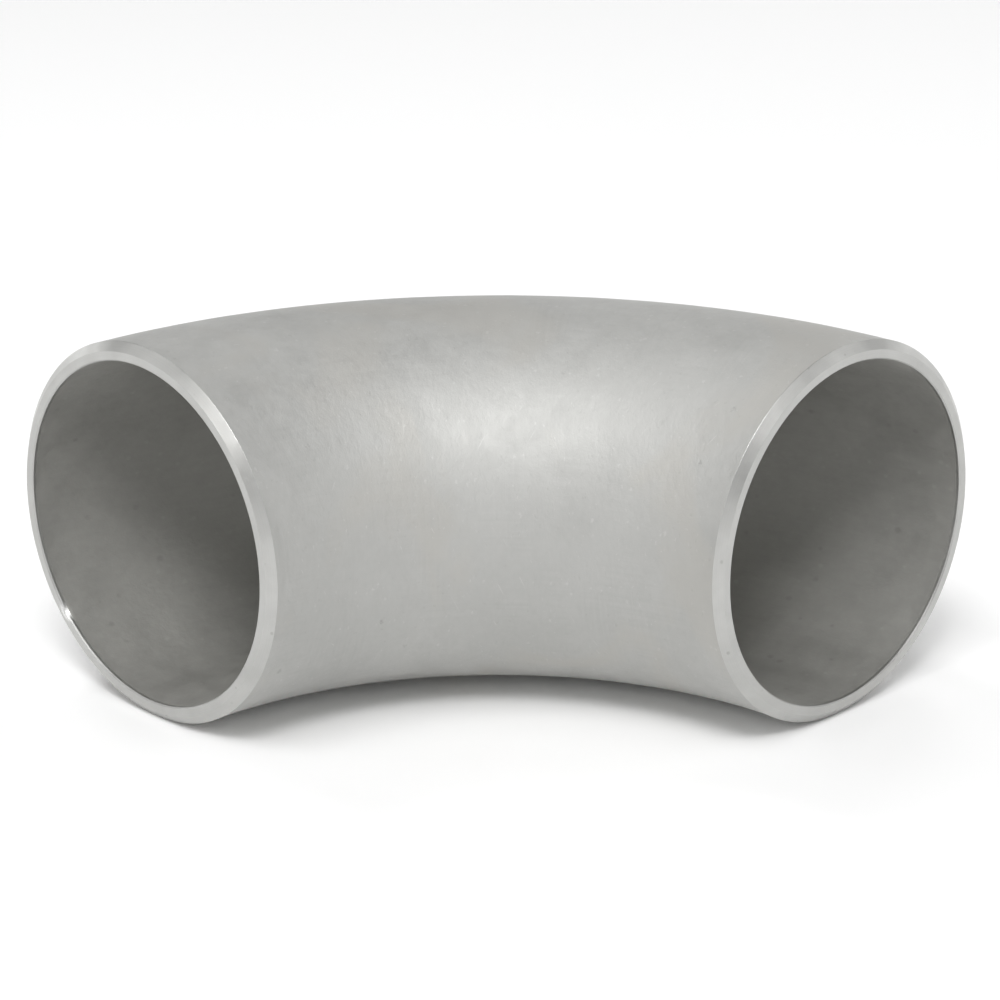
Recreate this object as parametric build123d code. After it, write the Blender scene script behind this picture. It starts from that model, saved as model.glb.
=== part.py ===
from build123d import *
import math
import os

# Long radius 90 degree pipe elbow, butt-weld type, millimetres.
# One seamless formed tube: a ring section swept a quarter turn about the bend
# axis, with both ends machined square and bevelled for welding.
#
# It lies on its side, as it rests on a bench: the bend plane is level, the
# floor is Z = 0, the two mouths face forwards (-Y) at 45 degrees to the left
# (-X) and to the right (+X), and the outside of the bend faces +Y.

# ---- driving dimensions ---------------------------------------------------
outside_dia = 60.3       # pipe outside diameter, nominal 2 in pipe
wall = 2.9               # wall thickness, even all round
bend_radius = 76.2       # centreline bend radius = 1.5 x nominal size
bend_angle = 90.0        # degrees between the two port axes
root_face = 1.5          # flat land left at the inside of each end
bevel_angle = 37.5       # weld bevel, degrees back from the end plane
edge_break = 0.2         # deburred inner edge of each mouth

# ---- derived --------------------------------------------------------------
r_out = outside_dia / 2
r_in = r_out - wall
r_land = r_in + root_face                                   # outer edge of the land
bevel_depth = (r_out - r_land) * math.tan(math.radians(bevel_angle))
half = bend_angle / 2

# ---- body: ring section swept about the bend axis -------------------------
# The bend axis is the Z line through X = 0, Y = 0 while the solid is built.
# The section is drawn in the upright plane of the left mouth and turns
# through bend_angle to the right mouth.
h = math.radians(half)
mouth_left = Plane(
    origin=(-bend_radius * math.sin(h), bend_radius * math.cos(h), r_out),
    x_dir=(-math.sin(h), math.cos(h), 0),
    z_dir=(-math.cos(h), -math.sin(h), 0),
)
mouth_right = Plane(
    origin=(bend_radius * math.sin(h), bend_radius * math.cos(h), r_out),
    x_dir=(math.sin(h), math.cos(h), 0),
    z_dir=(math.cos(h), -math.sin(h), 0),
)
section = mouth_left * (Circle(r_out) - Circle(r_in))
body = revolve(section, axis=Axis.Z, revolution_arc=-bend_angle)


# ---- weld ends ------------------------------------------------------------
# Each tool is a ring turned about the port axis. In the tool's profile the
# first coordinate is the distance from the port axis and the second is the
# distance out of the mouth along it.
def turned(profile, mouth):
    ring = revolve(
        Plane.XZ * make_face(Polyline(*profile, close=True)), axis=Axis.Z
    )
    return mouth * ring


def slope(r):
    # height of the bevel line over the end plane at radius r
    return -(r - r_land) * math.tan(math.radians(bevel_angle))


r_a = r_land - 1.0
r_b = r_out + 3.0
bevel_tool = [(r_a, slope(r_a)), (r_b, slope(r_b)), (r_b, slope(r_a))]

# 45 degree break along the inner edge
edge_tool = [
    (r_in - 1.0, -1.0 - edge_break),
    (r_in + edge_break + 0.5, 0.5),
    (r_in - 1.0, 0.5),
]

for mouth in (mouth_left, mouth_right):
    body = body - turned(bevel_tool, mouth)
    body = body - turned(edge_tool, mouth)

# ---- origin: middle of the footprint, on the floor ------------------------
box = body.bounding_box()
y_mid = (box.min.Y + box.max.Y) / 2
elbow = Pos(0, -y_mid, 0) * body
if isinstance(elbow, (list, ShapeList)) or len(elbow.solids()) != 1:
    raise RuntimeError("the elbow is one solid")
elbow = elbow.solids()[0]
elbow.label = "elbow"

b = elbow.bounding_box()
print("box", tuple(round(v, 4) for v in b.min), tuple(round(v, 4) for v in b.max))
print("bend axis at Y =", round(-y_mid, 4), " volume mm3 =", round(elbow.volume, 1))
ring = math.pi * (r_out**2 - r_in**2) * bend_radius * math.radians(bend_angle)
print("plain bend volume mm3 =", round(ring, 1), " bevel depth mm =", round(bevel_depth, 4))
for name, s in (("left", -1), ("right", 1)):
    # a point in the middle of each land, at the side of the mouth nearest the floor
    rl = (r_in + edge_break + r_land) / 2
    x = s * bend_radius * math.sin(h)
    y = bend_radius * math.cos(h) - y_mid
    print(name, "land centre", round(x, 4), round(y, 4), round(r_out, 4),
          " on the land", round(x, 4), round(y, 4), round(r_out - rl, 4))

os.makedirs("parts", exist_ok=True)
export_step(elbow, "parts/elbow.step")
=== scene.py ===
import math

import bpy
import numpy as np
from mathutils import Matrix, Vector


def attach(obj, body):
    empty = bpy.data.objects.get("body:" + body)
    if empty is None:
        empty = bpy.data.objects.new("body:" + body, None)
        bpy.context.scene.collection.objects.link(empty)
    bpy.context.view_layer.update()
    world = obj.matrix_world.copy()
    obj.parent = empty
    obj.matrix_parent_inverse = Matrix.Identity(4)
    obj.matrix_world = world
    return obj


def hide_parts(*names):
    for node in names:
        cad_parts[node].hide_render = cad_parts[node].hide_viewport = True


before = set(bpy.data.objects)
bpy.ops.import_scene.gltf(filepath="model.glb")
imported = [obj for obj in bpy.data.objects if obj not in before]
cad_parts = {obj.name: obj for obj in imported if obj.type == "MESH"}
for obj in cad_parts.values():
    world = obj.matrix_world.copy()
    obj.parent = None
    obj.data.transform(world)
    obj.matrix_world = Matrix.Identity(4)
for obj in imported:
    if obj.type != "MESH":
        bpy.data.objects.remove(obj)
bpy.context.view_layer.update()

# ---------------------------------------------------------------------------
# sizes of the elbow, in metres (they repeat the CAD part's dimensions)
# ---------------------------------------------------------------------------
MM = 0.001
R_BEND = 76.2 * MM
R_OUT = 30.15 * MM
R_IN = 27.25 * MM
R_LAND = 28.75 * MM
BEVEL = math.radians(37.5)
BREAK = 0.2 * MM
BORED = 0.65 * MM  # the boring tool cleaned this much of the bore at each mouth
HALF = math.radians(45.0)
AXIS_Y = -69.8349 * MM  # the bend axis is the vertical line x = 0, y = AXIS_Y
Z_MID = R_OUT
SKIN = 0.004 * MM  # the mesh stays this far inside the nominal faces


# ---------------------------------------------------------------------------
# smooth repeatable noise for the mesh itself
# ---------------------------------------------------------------------------
class Lattice:
    """Value noise in three dimensions on a seeded lattice."""

    def __init__(self, seed):
        rng = np.random.default_rng(seed)
        self.v = rng.random((32, 32, 32)) * 2 - 1

    def __call__(self, p, scale):
        q = p * scale
        i = np.floor(q).astype(int)
        f = q - i
        f = f * f * f * (f * (f * 6 - 15) + 10)
        out = 0
        for dx in (0, 1):
            for dy in (0, 1):
                for dz in (0, 1):
                    w = (
                        (f[..., 0] if dx else 1 - f[..., 0])
                        * (f[..., 1] if dy else 1 - f[..., 1])
                        * (f[..., 2] if dz else 1 - f[..., 2])
                    )
                    out = out + w * self.v[
                        (i[..., 0] + dx) % 32, (i[..., 1] + dy) % 32, (i[..., 2] + dz) % 32
                    ]
        return out


# ---------------------------------------------------------------------------
# the elbow's mesh: rings of points, each given by (radius from the port axis,
# depth from the end plane) at an end, or by a share of the way round the bend
# ---------------------------------------------------------------------------
N_PHI = 288
PHI = np.linspace(0, 2 * np.pi, N_PHI, endpoint=False) - np.pi / 2  # seam at the floor


def rounded(points, radii, steps):
    """A polyline with its corners rounded and a support point beside each round."""
    out = [np.array(points[0], float)]
    for k in range(1, len(points) - 1):
        a, b, c = (np.array(points[k + d], float) for d in (-1, 0, 1))
        u, v = (a - b) / np.linalg.norm(a - b), (c - b) / np.linalg.norm(c - b)
        half = math.acos(np.clip(u @ v, -1, 1)) / 2
        r = radii[k - 1]
        t = r / math.tan(half)
        mid = (u + v) / np.linalg.norm(u + v)
        centre = b + mid * (r / math.sin(half))
        p0, p1 = b + u * t, b + v * t
        out.append(p0 + u * r * 0.45)
        w0, w1 = p0 - centre, p1 - centre
        ang = math.acos(np.clip(w0 @ w1 / (r * r), -1, 1))
        for s in range(steps + 1):
            x = s / steps
            out.append(
                centre
                + (math.sin((1 - x) * ang) * w0 + math.sin(x * ang) * w1) / math.sin(ang)
            )
        out.append(p1 + v * r * 0.45)
    out.append(np.array(points[-1], float))
    return np.array(out)


def subdivided(a, b, n):
    return [a + (b - a) * (k / n) for k in range(1, n)]


DEP = (R_OUT - R_LAND) * math.tan(BEVEL)
corner = [
    (R_OUT, DEP + 1.6 * MM),
    (R_OUT, DEP),
    (R_LAND, 0.0),
    (R_IN + BREAK, 0.0),
    (R_IN, BREAK),
    (R_IN, BORED),
]
end = rounded(corner, [0.10 * MM, 0.10 * MM, 0.06 * MM, 0.06 * MM], 4)
# material of the strip that starts at each profile point: 0 skin, 1 machined, 2 bore
where = []
for k in range(len(end) - 1):
    m = (end[k] + end[k + 1]) / 2
    where.append(0 if m[1] > DEP + 0.03 * MM and m[0] > R_LAND else 1)
# more points across the bevel and the land
prof, mats = [end[0]], []
for k in range(len(end) - 1):
    length = np.linalg.norm(end[k + 1] - end[k])
    n = max(1, int(round(length / (0.22 * MM))))
    for q in subdivided(end[k], end[k + 1], n):
        prof.append(q)
        mats.append(where[k])
    prof.append(end[k + 1])
    mats.append(where[k])
prof = np.array(prof)
N_END = len(prof)

rows_a, rows_rho, rows_depth, row_mat = [], [], [], []
cosp, sinp = np.cos(PHI), np.sin(PHI)


def end_angle(rho, depth):
    """Angle left to turn to the end plane, for a point at this depth, round the section."""
    return np.arcsin(np.clip(depth / (R_BEND + rho * cosp), -1, 1))


def add(angle, rho, depth, mat):
    rows_a.append(angle * np.ones(N_PHI))
    rows_rho.append(rho)
    rows_depth.append(depth)
    row_mat.append(mat)


# right end, from the outer skin over the bevel and the land into the bore
for k, (rho, depth) in enumerate(prof):
    add(HALF - end_angle(rho, depth), rho, depth, mats[k] if k < N_END - 1 else 2)
# bore, right to left
N_BORE, N_SKIN = 92, 148
a_r = HALF - end_angle(R_IN, prof[-1][1])
a_r2 = HALF - end_angle(R_IN, BORED + 0.7 * MM)
add(0.65 * a_r + 0.35 * a_r2, R_IN, BORED + 0.25 * MM, 2)
for k in range(0, N_BORE + 1):
    add(a_r2 - 2 * a_r2 * k / N_BORE, R_IN, 1.0, 2)
add(-0.65 * a_r - 0.35 * a_r2, R_IN, BORED + 0.25 * MM, 2)
# left end, from the bore over the land and the bevel to the outer skin
for k in range(N_END - 1, -1, -1):
    rho, depth = prof[k]
    add(-(HALF - end_angle(rho, depth)), rho, depth, mats[k - 1] if k > 0 else 0)
# outer skin, left to right
a_s = HALF - end_angle(R_OUT, prof[0][1])
for k in range(1, N_SKIN):
    add(-a_s + (a_s + a_s) * k / N_SKIN, R_OUT, 1.0, 0)

A = np.array(rows_a)
RHO = np.repeat(np.array(rows_rho)[:, None], N_PHI, 1)
DEPTH = np.array(rows_depth)
N_ROW = len(A)

# unrolled place: the tube as if it were straight, for patterns that follow it
straight = np.stack(
    [RHO * cosp[None], RHO * sinp[None], A * R_BEND], -1
)
# gentle unevenness of the formed wall, always towards the metal's inside
bumps = Lattice(11)
wave = 0.50 * bumps(straight + 7.0, 62.0) + 0.30 * bumps(straight + 3.0, 150.0)
wave = wave + 0.20 * bumps(straight + 1.0, 360.0)
skin_part = (RHO > R_LAND) * np.clip((DEPTH - DEP) / (1.5 * MM), 0, 1)[:, None]
bore_part = (RHO < R_IN + 0.001 * MM) * np.clip((DEPTH - BORED) / (1.5 * MM), 0, 1)[:, None]
shift = (bore_part - skin_part) * (0.045 * MM) * (1.0 + wave)
# shallow handling dings, on the skin and in the bore
rng = np.random.default_rng(5)
for _ in range(34):
    a0, p0 = rng.uniform(-0.7, 0.7), rng.uniform(-math.pi, math.pi)
    size, long_way, deep = rng.uniform(0.5, 1.6) * MM, rng.uniform(0.4, 1.0), rng.uniform(0.02, 0.06) * MM
    for part, radius, way in ((skin_part, R_OUT, -1.0), (bore_part, R_IN, 1.0)):
        c = np.array([radius * math.cos(p0), radius * math.sin(p0), a0 * R_BEND])
        d = np.linalg.norm((straight - c) * np.array([1, 1, long_way]), axis=-1) / size
        shift += way * part * deep * np.exp(-d * d)
# the bevel was ground by hand, so it bites a little deeper here and there
ground = Lattice(41)
ring = np.stack([RHO * cosp[None], RHO * sinp[None], np.sign(A) * 40 * MM], -1)
uneven = 0.6 * ground(ring + 5.0, 75.0) + 0.4 * ground(ring + 2.0, 210.0)
bite = np.clip((RHO - R_LAND) / (R_OUT - R_LAND), 0, 1) * np.where(DEPTH[:, None] < DEP + 0.6 * MM, 1.0, 0.0)
bite = bite * np.clip((DEP + 0.6 * MM - DEPTH[:, None]) / (0.5 * MM), 0, 1)
push_in = bite * (0.055 * MM) * (1.0 + uneven)
# a small nick, rubbed smooth, in the left mouth's inner edge, low on the outer side of the bend; its mask also
# paints a glint on it, a lighter machined colour as a painted highlight
along = (PHI - math.radians(-42.0)) * R_IN / (1.05 * MM)
down = np.clip(1.0 - DEPTH / (0.95 * MM), 0, 1)[:, None] * np.clip((R_IN + 1.2 * MM - RHO) / (1.0 * MM), 0, 1)
nick = np.where(A < 0, 1.0, 0.0) * down * np.exp(-(along**2))[None]
shift += nick * (0.50 * MM)
shift -= np.where(RHO > R_LAND, SKIN, 0.0)

A = A - np.sign(A) * push_in / R_BEND
rho = RHO + shift
loc = R_BEND + rho * cosp[None]
co = np.stack([loc * np.sin(A), AXIS_Y + loc * np.cos(A), Z_MID + rho * sinp[None]], -1)

verts = co.reshape(-1, 3)
r_i, p_i = np.meshgrid(np.arange(N_ROW), np.arange(N_PHI), indexing="ij")
r_n, p_n = (r_i + 1) % N_ROW, (p_i + 1) % N_PHI
quads = np.stack(
    [r_i * N_PHI + p_i, r_n * N_PHI + p_i, r_n * N_PHI + p_n, r_i * N_PHI + p_n], -1
).reshape(-1, 4)
face_mat = np.repeat(np.array(row_mat), N_PHI)

mesh = bpy.data.meshes.new("elbow_skin")
mesh.from_pydata(verts.tolist(), [], quads.tolist())
mesh.polygons.foreach_set("material_index", face_mat.astype(np.int32))
mesh.polygons.foreach_set("use_smooth", np.ones(len(quads), bool))

for name, values in (
    ("straight", straight),
    ("section", np.stack([RHO, np.repeat(DEPTH[:, None], N_PHI, 1), np.repeat(PHI[None], N_ROW, 0)], -1)),
):
    att = mesh.attributes.new(name, "FLOAT_VECTOR", "POINT")
    att.data.foreach_set("vector", values.reshape(-1).astype(np.float32))
# mask of the nick: it lowers the roughness there (real) and paints a glint on it (a lighter colour, painted
# highlight)
att = mesh.attributes.new("burnish", "FLOAT", "POINT")
att.data.foreach_set("value", np.clip(nick * 2.5, 0, 1).reshape(-1).astype(np.float32))

# one flat map: skin and bore side by side, and the two machined ends as strips above
row_co = np.stack([R_BEND * A[:, N_PHI // 4], RHO[:, 0]], -1)
step = np.linalg.norm(np.roll(row_co, -1, 0) - row_co, axis=1)
cum = np.concatenate([[0.0], np.cumsum(step)])
mat_row = np.array(row_mat)
first = np.arange(N_ROW)
# the skin's rows carry on past the end of the list, so they count on from there
wrapped = np.where((mat_row == 0) & (first < N_ROW // 2), cum[-1], 0.0)
group = np.where(mat_row == 0, 0, np.where(mat_row == 2, 1, np.where(first < N_ROW // 2, 2, 3)))
places = {0: (0.004, 0.496, 0.004, 0.870), 1: (0.504, 0.996, 0.004, 0.870), 2: (0.004, 0.996, 0.876, 0.934), 3: (0.004, 0.996, 0.940, 0.998)}
uv = np.zeros((N_ROW, N_PHI, 4, 2))
around = np.arange(N_PHI + 1) / N_PHI
for g, (u0, u1, v0, v1) in places.items():
    rows = np.nonzero(group == g)[0]
    lo_s = (cum[rows] + wrapped[rows]).min()
    hi_s = (cum[rows + 1] + wrapped[rows]).max()
    for r in rows:
        sa = (cum[r] + wrapped[r] - lo_s) / (hi_s - lo_s)
        sb = (cum[r + 1] + wrapped[r] - lo_s) / (hi_s - lo_s)
        for corner_no, (share, ph) in enumerate(((sa, around[:-1]), (sb, around[:-1]), (sb, around[1:]), (sa, around[1:]))):
            if g < 2:
                uv[r, :, corner_no, 0] = u0 + (u1 - u0) * share
                uv[r, :, corner_no, 1] = v0 + (v1 - v0) * ph
            else:
                uv[r, :, corner_no, 0] = u0 + (u1 - u0) * ph
                uv[r, :, corner_no, 1] = v0 + (v1 - v0) * share
layer = mesh.uv_layers.new(name="OFBake")
layer.uv.foreach_set("vector", uv.reshape(-1).astype(np.float32))

elbow = bpy.data.objects.new("long_radius_elbow", mesh)
bpy.context.scene.collection.objects.link(elbow)

# faces turn outwards
mesh.update()
probe = mesh.polygons[(N_END * 2 + N_BORE + N_SKIN // 2) * N_PHI + N_PHI // 2]
mid_axis = Vector((0, AXIS_Y + R_BEND, Z_MID))
if (probe.center - mid_axis).dot(probe.normal) < 0:
    mesh.flip_normals()
mesh.update()


# ---------------------------------------------------------------------------
# materials
# ---------------------------------------------------------------------------
class Nodes:
    def __init__(self, name):
        self.mat = bpy.data.materials.new(name)
        self.mat.use_nodes = True
        self.t = self.mat.node_tree
        self.t.nodes.clear()
        self.out = self.t.nodes.new("ShaderNodeOutputMaterial")
        self.bsdf = self.t.nodes.new("ShaderNodeBsdfPrincipled")
        self.link(self.bsdf.outputs["BSDF"], self.out.inputs["Surface"])

    def link(self, a, b):
        self.t.links.new(a, b)
        return b

    def node(self, kind, ins=None, **props):
        n = self.t.nodes.new(kind)
        for k, v in props.items():
            setattr(n, k, v)
        for k, v in (ins or {}).items():
            if isinstance(v, bpy.types.NodeSocket):
                self.link(v, n.inputs[k])
            else:
                n.inputs[k].default_value = v
        return n

    def attribute(self, name):
        return self.node("ShaderNodeAttribute", attribute_name=name).outputs["Vector"]

    def amount(self, name):
        return self.node("ShaderNodeAttribute", attribute_name=name).outputs["Fac"]

    def scaled(self, vec, s):
        return self.node("ShaderNodeVectorMath", {0: vec, 1: s}, operation="MULTIPLY").outputs[0]

    def noise(self, vec, scale, detail=2.0, rough=0.5, distortion=0.0):
        return self.node(
            "ShaderNodeTexNoise",
            {"Vector": vec, "Scale": scale, "Detail": detail, "Roughness": rough, "Distortion": distortion},
        ).outputs["Fac"]

    def streaks(self, vec, turn, across, along):
        """Noise drawn out into straight streaks, turned off the tube's own directions."""
        n = self.node("ShaderNodeMapping", {"Vector": vec, "Rotation": turn}, vector_type="TEXTURE")
        n.inputs["Scale"].default_value = (1 / across, 1 / across, 1 / along)
        return self.noise(n.outputs[0], 1.0, 1.0, 0.4)

    def math(self, op, a, b=None, c=None, clamp=False):
        ins = {0: a}
        if b is not None:
            ins[1] = b
        if c is not None:
            ins[2] = c
        return self.node("ShaderNodeMath", ins, operation=op, use_clamp=clamp).outputs[0]

    def remap(self, v, a, b, c, d, smooth=True):
        n = self.node(
            "ShaderNodeMapRange",
            {"Value": v, "From Min": a, "From Max": b, "To Min": c, "To Max": d},
            interpolation_type="SMOOTHSTEP" if smooth else "LINEAR",
        )
        n.clamp = True
        return n.outputs["Result"]

    def mix(self, fac, a, b):
        n = self.node("ShaderNodeMix", data_type="RGBA")
        for k, v in ((0, fac), (6, a), (7, b)):
            if isinstance(v, bpy.types.NodeSocket):
                self.link(v, n.inputs[k])
            elif k == 0:
                n.inputs[k].default_value = v
            else:
                n.inputs[k].default_value = (*v[:3], 1.0)
        return n.outputs[2]

    def bump(self, height, distance, strength=1.0, normal=None):
        ins = {"Height": height, "Distance": distance, "Strength": strength}
        if normal is not None:
            ins["Normal"] = normal
        return self.node("ShaderNodeBump", ins).outputs[0]


def specks(m, vec, scale, keep, size, soft):
    """Sparse soft-edged spots: 1 in the middle of a spot, 0 elsewhere."""
    cell = m.node("ShaderNodeTexVoronoi", {"Vector": vec, "Scale": scale, "Randomness": 1.0})
    pick = m.node("ShaderNodeSeparateColor", {"Color": cell.outputs["Color"]})
    radius = m.remap(pick.outputs["Green"], 0.0, 1.0, size * 0.4, size, smooth=False)
    spot = m.remap(m.math("SUBTRACT", radius, cell.outputs["Distance"]), -soft, soft, 0.0, 1.0)
    return m.math("MULTIPLY", spot, m.math("GREATER_THAN", pick.outputs["Red"], keep))


def skin_material():
    """Outside: matt pickled and blasted stainless, faintly mottled, with fine pits."""
    m = Nodes("pickled_stainless")
    s = m.attribute("straight")
    wobble = m.node("ShaderNodeTexNoise", {"Vector": s, "Scale": 900.0, "Detail": 2.0}).outputs["Color"]
    bent = m.node("ShaderNodeVectorMath", {0: s, 1: m.scaled(wobble, (0.0006, 0.0006, 0.0006))}, operation="ADD").outputs[0]
    fine = m.node("ShaderNodeTexNoise", {"Vector": s, "Scale": 2600.0, "Detail": 1.0}).outputs["Color"]
    bent = m.node("ShaderNodeVectorMath", {0: bent, 1: m.scaled(fine, (0.0009, 0.0009, 0.0009))}, operation="ADD").outputs[0]
    broad = m.noise(s, 48.0, 3.0, 0.55, 0.6)
    cloud = m.noise(s, 210.0, 4.0, 0.60, 0.3)
    mottle = m.noise(s, 760.0, 4.0, 0.62, 0.2)
    grain = m.noise(s, 3600.0, 3.0, 0.6)
    warm = m.remap(m.noise(m.node("ShaderNodeVectorMath", {0: s, 1: (0.31, 0.12, 0.27)}, operation="ADD").outputs[0], 42.0, 3.0, 0.5, 0.5), 0.50, 0.66, 0.0, 1.0)
    # drawing marks along the tube and forming marks round it, each only here and there
    where_long = m.remap(m.noise(s, 70.0, 2.0), 0.48, 0.62, 0.0, 1.0)
    drawn = m.noise(m.scaled(s, (1500.0, 1500.0, 26.0)), 1.0, 3.0, 0.6)
    where_round = m.remap(m.noise(m.scaled(s, (60.0, 60.0, 95.0)), 1.0, 2.0), 0.52, 0.66, 0.0, 1.0)
    formed = m.noise(m.scaled(s, (38.0, 38.0, 1700.0)), 1.0, 3.0, 0.6)
    marks = m.math(
        "ADD",
        m.math("MULTIPLY", m.math("SUBTRACT", drawn, 0.5), where_long),
        m.math("MULTIPLY", m.math("SUBTRACT", formed, 0.5), where_round),
    )
    pit = m.math("MULTIPLY", specks(m, bent, 330.0, 0.80, 0.17, 0.08), m.remap(m.noise(s, 150.0, 1.0), 0.45, 0.60, 0.15, 1.0))
    small_pit = specks(m, m.scaled(bent, (1.0, 1.0, 0.9)), 900.0, 0.74, 0.22, 0.14)
    # painted glints: sparse small specks lightened towards white in the colour, and a little smoother
    spark = specks(m, m.scaled(bent, (1.07, 0.93, 1.0)), 620.0, 0.72, 0.20, 0.10)
    # a few short straight handling scratches, in two directions
    scratch = m.math(
        "ADD",
        m.remap(m.streaks(s, (0.9, 0.35, 0.0), 2400.0, 70.0), 0.745, 0.80, 0.0, 1.0),
        m.remap(m.streaks(s, (-0.5, 0.8, 0.3), 2600.0, 90.0), 0.750, 0.81, 0.0, 1.0),
        clamp=True,
    )

    tone = m.math("ADD", m.remap(broad, 0.3, 0.7, 0.0, 0.40, False), m.remap(cloud, 0.32, 0.68, 0.0, 0.35, False))
    tone = m.math("ADD", tone, m.remap(mottle, 0.32, 0.68, 0.0, 0.42, False))
    tone = m.math("ADD", tone, m.math("MULTIPLY", marks, 0.62), clamp=True)
    colour = m.mix(tone, (0.448, 0.448, 0.435), (0.532, 0.532, 0.518))
    colour = m.mix(m.math("MULTIPLY", warm, 0.50), colour, (0.505, 0.494, 0.466))
    colour = m.mix(m.math("MULTIPLY", pit, 0.20), colour, (0.27, 0.265, 0.25))
    colour = m.mix(m.math("MULTIPLY", small_pit, 0.12), colour, (0.27, 0.265, 0.25))
    # painted glints: the sparse specks are lightened towards white
    colour = m.mix(m.math("MULTIPLY", spark, 0.13), colour, (0.74, 0.74, 0.73))
    colour = m.mix(m.math("MULTIPLY", scratch, 0.12), colour, (0.74, 0.74, 0.73))
    m.link(colour, m.bsdf.inputs["Base Color"])
    m.bsdf.inputs["Metallic"].default_value = 1.0
    rough = m.remap(cloud, 0.3, 0.7, 0.62, 0.70, False)
    rough = m.math("ADD", rough, m.math("MULTIPLY", m.math("SUBTRACT", mottle, 0.5), 0.16))
    rough = m.math("SUBTRACT", rough, m.math("MULTIPLY", spark, 0.06))
    rough = m.math("SUBTRACT", rough, m.math("MULTIPLY", scratch, 0.07))
    rough = m.math("ADD", rough, m.math("MULTIPLY", pit, 0.10), clamp=True)
    m.link(rough, m.bsdf.inputs["Roughness"])

    h = m.math("ADD", mottle, m.math("MULTIPLY", cloud, 1.6))
    h = m.math("ADD", h, m.math("MULTIPLY", marks, 0.14))
    h = m.math("SUBTRACT", h, m.math("MULTIPLY", pit, 0.55))
    h = m.math("SUBTRACT", h, m.math("MULTIPLY", small_pit, 0.18))
    n = m.bump(h, 0.052 * MM, 1.0)
    n = m.bump(grain, 0.009 * MM, 1.0, n)
    m.link(n, m.bsdf.inputs["Normal"])
    return m.mat


def machined_material():
    """Weld bevel, root face and bored lip: turned metal with tool marks round the port axis."""
    m = Nodes("machined_stainless")
    s = m.attribute("straight")
    sec = m.node("ShaderNodeSeparateXYZ", {"Vector": m.attribute("section")})
    wander = m.noise(s, 130.0, 2.0)
    r = m.math("ADD", sec.outputs["X"], m.math("MULTIPLY", sec.outputs["Y"], 0.7))
    r = m.math("ADD", r, m.math("MULTIPLY", wander, 0.00006))
    lines = m.node(
        "ShaderNodeTexNoise",
        {"W": m.math("MULTIPLY", r, 9000.0), "Scale": 1.0, "Detail": 3.0, "Roughness": 0.6},
        noise_dimensions="1D",
    ).outputs["Fac"]
    feed = m.math("SINE", m.math("MULTIPLY", r, 2 * math.pi / 0.00021))
    smear = m.noise(s, 420.0, 3.0, 0.55)
    patch = m.noise(s, 170.0, 3.0, 0.6)
    nicks = specks(m, s, 520.0, 0.80, 0.17, 0.06)
    tone = m.math("ADD", m.remap(patch, 0.3, 0.7, 0.0, 0.6, False), m.remap(lines, 0.3, 0.7, 0.0, 0.4, False))
    colour = m.mix(tone, (0.445, 0.445, 0.431), (0.530, 0.530, 0.515))
    colour = m.mix(m.math("MULTIPLY", nicks, 0.35), colour, (0.30, 0.295, 0.28))
    # painted glint on the nick: the colour is lightened towards white there, besides its lower roughness
    burnish = m.amount("burnish")
    colour = m.mix(burnish, colour, (0.74, 0.74, 0.73))
    m.link(colour, m.bsdf.inputs["Base Color"])
    m.bsdf.inputs["Metallic"].default_value = 1.0
    rough = m.remap(smear, 0.3, 0.7, 0.30, 0.40, False)
    rough = m.math("ADD", rough, m.math("MULTIPLY", nicks, 0.15))
    lip = m.remap(sec.outputs["X"], R_IN + 0.02 * MM, R_IN + 0.15 * MM, 0.16, 0.0, False)
    rough = m.math("ADD", rough, lip)
    rough = m.math("SUBTRACT", rough, m.math("MULTIPLY", burnish, 0.16))
    m.link(rough, m.bsdf.inputs["Roughness"])
    h = m.math("ADD", m.math("MULTIPLY", feed, 0.5), m.math("MULTIPLY", lines, 1.2))
    n = m.bump(h, 0.0030 * MM, 1.0)
    n = m.bump(patch, 0.04 * MM, 1.0, n)
    m.link(n, m.bsdf.inputs["Normal"])
    return m.mat


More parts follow.
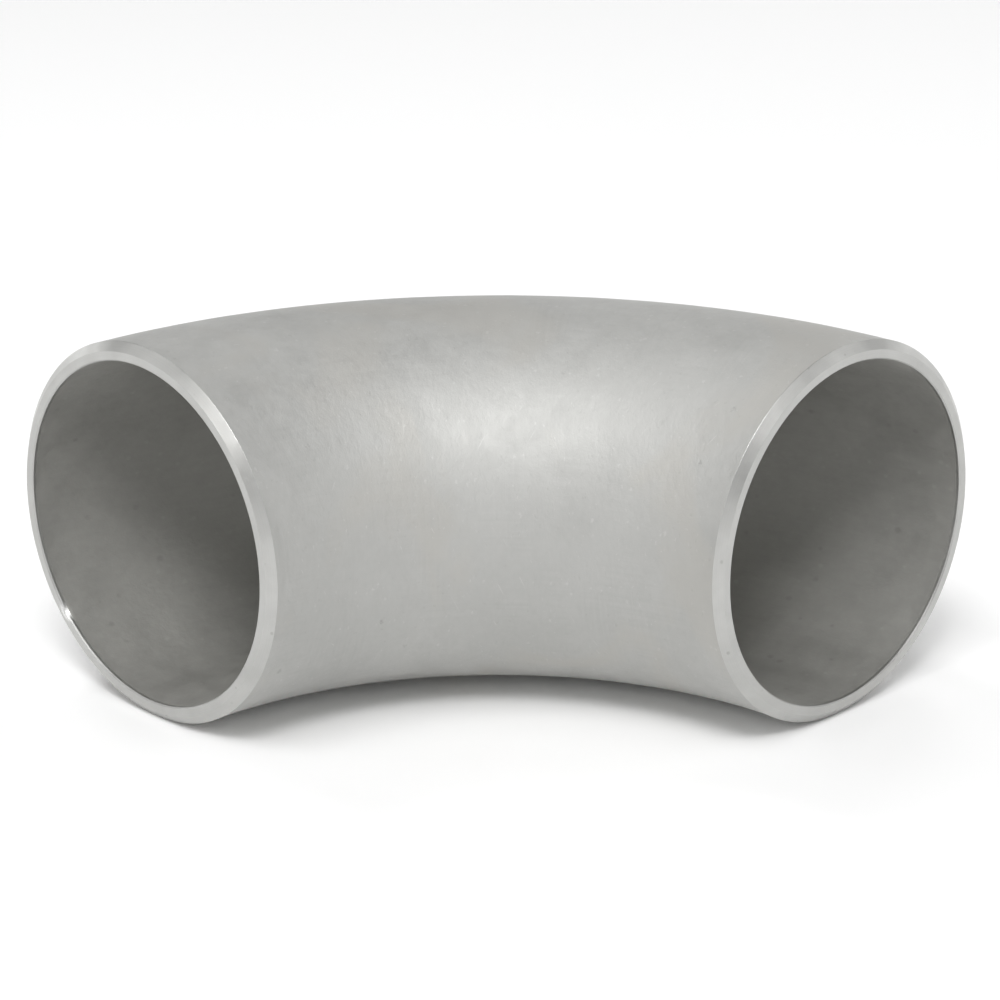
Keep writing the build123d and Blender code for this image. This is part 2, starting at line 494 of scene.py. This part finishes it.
def bore_material():
    """Bore: darker, rougher pickled skin with faint lines along the tube and small specks."""
    m = Nodes("bore_stainless")
    s = m.attribute("straight")
    broad = m.noise(s, 60.0, 3.0, 0.55, 0.3)
    cloud = m.noise(s, 230.0, 4.0, 0.60, 0.3)
    mottle = m.noise(s, 800.0, 4.0, 0.62, 0.2)
    grain = m.noise(s, 3300.0, 3.0, 0.6)
    drawn = m.noise(m.scaled(s, (1500.0, 1500.0, 30.0)), 1.0, 3.0, 0.6)
    pit = specks(m, s, 340.0, 0.74, 0.16, 0.08)
    spark = specks(m, m.scaled(s, (1.05, 0.95, 1.0)), 520.0, 0.76, 0.18, 0.09)
    tone = m.math("ADD", m.remap(broad, 0.3, 0.7, 0.0, 0.40, False), m.remap(cloud, 0.32, 0.68, 0.0, 0.35, False))
    tone = m.math("ADD", tone, m.remap(mottle, 0.32, 0.68, 0.0, 0.25, False))
    tone = m.math("ADD", tone, m.math("MULTIPLY", m.math("SUBTRACT", drawn, 0.5), 0.25), clamp=True)
    colour = m.mix(tone, (0.405, 0.402, 0.383), (0.503, 0.499, 0.477))
    colour = m.mix(m.math("MULTIPLY", pit, 0.24), colour, (0.25, 0.245, 0.23))
    # painted glints: sparse small specks lightened towards white in the colour
    colour = m.mix(m.math("MULTIPLY", spark, 0.14), colour, (0.72, 0.72, 0.70))
    m.link(colour, m.bsdf.inputs["Base Color"])
    m.bsdf.inputs["Metallic"].default_value = 1.0
    rough = m.remap(cloud, 0.3, 0.7, 0.70, 0.80, False)
    m.link(rough, m.bsdf.inputs["Roughness"])
    h = m.math("ADD", mottle, m.math("MULTIPLY", cloud, 1.6))
    h = m.math("ADD", h, m.math("MULTIPLY", drawn, 0.2))
    h = m.math("SUBTRACT", h, m.math("MULTIPLY", pit, 0.5))
    n = m.bump(h, 0.045 * MM, 1.0)
    n = m.bump(grain, 0.010 * MM, 1.0, n)
    m.link(n, m.bsdf.inputs["Normal"])
    return m.mat


for mat in (skin_material(), machined_material(), bore_material()):
    mesh.materials.append(mat)

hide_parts("elbow")
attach(elbow, "root")

# ---------------------------------------------------------------------------
# floor, light and camera
# ---------------------------------------------------------------------------
bpy.ops.mesh.primitive_circle_add(vertices=96, radius=0.62, fill_type="NGON", location=(0, 0, 0))
floor = bpy.context.object
floor.name = "floor"
fm = Nodes("pale_floor")
fm.bsdf.inputs["Base Color"].default_value = (0.965, 0.965, 0.965, 1)
fm.bsdf.inputs["Roughness"].default_value = 0.9
fm.bsdf.inputs["Specular IOR Level"].default_value = 0.2
floor.data.materials.append(fm.mat)

CENTRE = Vector((0.0, 0.0, 0.03))


def softbox(name, azimuth, elevation, distance, size, watts):
    """A round area light. Azimuth 0 is the camera's side (-Y), 90 is +X."""
    a, e = math.radians(azimuth), math.radians(elevation)
    d = Vector((math.sin(a) * math.cos(e), -math.cos(a) * math.cos(e), math.sin(e)))
    light = bpy.data.lights.new(name, "AREA")
    light.shape = "DISK"
    light.size = size
    light.energy = watts
    ob = bpy.data.objects.new(name, light)
    ob.matrix_world = Matrix.Translation(CENTRE + d * distance) @ d.to_track_quat("Z", "Y").to_matrix().to_4x4()
    bpy.context.scene.collection.objects.link(ob)
    return ob


# name, azimuth, elevation, distance, diameter, watts
LIGHTS = [
    ("key", 6.0, 52.0, 1.6, 0.40, 4.7),
    ("key_2", -8.0, 52.0, 1.6, 0.40, 5.5),
    ("high_left", -34.0, 61.0, 1.6, 0.60, 5.0),
    ("high_right", 15.0, 61.0, 1.6, 0.60, 1.8),
    ("top", 0.0, 76.0, 1.6, 0.90, 1.8),
    ("front_left", -43.0, 29.0, 1.6, 0.50, 2.2),
    ("front_right", 43.0, 30.0, 1.6, 0.50, 1.5),
    ("side_left", -62.0, 36.0, 1.6, 0.50, 1.2),
    ("side_right", 62.0, 36.0, 1.6, 0.50, 1.1),
    ("left", -95.0, 32.0, 1.6, 0.90, 2.3),
    ("right", 95.0, 32.0, 1.6, 0.90, 2.5),
    ("back_left", -140.0, 55.0, 1.6, 0.50, 4.0),
    ("back_right", 140.0, 34.0, 1.6, 0.50, 2.1),
    ("back", 165.0, 44.0, 1.6, 0.50, 2.6),
    ("low_left", -125.0, 13.0, 1.6, 0.60, 0.8),
    ("low_right", 125.0, 13.0, 1.6, 0.60, 0.5),
]
for row in LIGHTS:
    softbox(*row)
WALLS, CEILING = 1.0, 0.05

world = bpy.data.worlds.new("studio")
world.use_nodes = True
wt = world.node_tree
bg = wt.nodes["Background"]
bg.inputs["Color"].default_value = (1, 1, 1, 1)
# pale walls and what lies past the round floor: white up to a few degrees over the horizon
way = wt.nodes.new("ShaderNodeTexCoord")
split = wt.nodes.new("ShaderNodeSeparateXYZ")
walls = wt.nodes.new("ShaderNodeMapRange")
walls.interpolation_type = "SMOOTHSTEP"
for socket, value in (("From Min", 0.13), ("From Max", 0.42), ("To Min", WALLS), ("To Max", CEILING)):
    walls.inputs[socket].default_value = value
wt.links.new(way.outputs["Generated"], split.inputs[0])
wt.links.new(split.outputs["Z"], walls.inputs["Value"])
wt.links.new(walls.outputs["Result"], bg.inputs["Strength"])
bpy.context.scene.world = world
world.cycles.sampling_method = "NONE"  # the walls are wide and even: no need to aim at them

# camera: position and axes from a fit of the outline and both mouths
ELEV, AZIM, ROLL = math.radians(20.2287), math.radians(0.3370), math.radians(-0.2526)
DIST, FOCAL = 0.496273, 3170.0
PX, PY = 495.804, 501.749
cam_data = bpy.data.cameras.new("camera")
cam_data.sensor_width = 36.0
cam_data.sensor_fit = "HORIZONTAL"
cam_data.lens = FOCAL * 36.0 / 1000.0
cam_data.clip_start = 0.01
cam_data.clip_end = 50.0
cam = bpy.data.objects.new("camera", cam_data)
back = Vector((math.sin(AZIM) * math.cos(ELEV), -math.cos(AZIM) * math.cos(ELEV), math.sin(ELEV)))
right = Vector((math.cos(AZIM), math.sin(AZIM), 0.0))
up = back.cross(right)
target = Vector((0.0, AXIS_Y + 0.9 * R_BEND, Z_MID))
place = target + back * DIST
x_ax = math.cos(ROLL) * right + math.sin(ROLL) * up
y_ax = -math.sin(ROLL) * right + math.cos(ROLL) * up
# turn a little, so that the middle of the picture needs no lens shift
z_ax = (back - x_ax * ((500.0 - PX) / FOCAL) - y_ax * ((PY - 500.0) / FOCAL)).normalized()
x_ax = (x_ax - z_ax * x_ax.dot(z_ax)).normalized()
y_ax = z_ax.cross(x_ax)
cam.matrix_world = Matrix(
    (
        (x_ax.x, y_ax.x, z_ax.x, place.x),
        (x_ax.y, y_ax.y, z_ax.y, place.y),
        (x_ax.z, y_ax.z, z_ax.z, place.z),
        (0, 0, 0, 1),
    )
)
bpy.context.scene.collection.objects.link(cam)
bpy.context.scene.camera = cam
bpy.context.scene.view_settings.view_transform = "Standard"
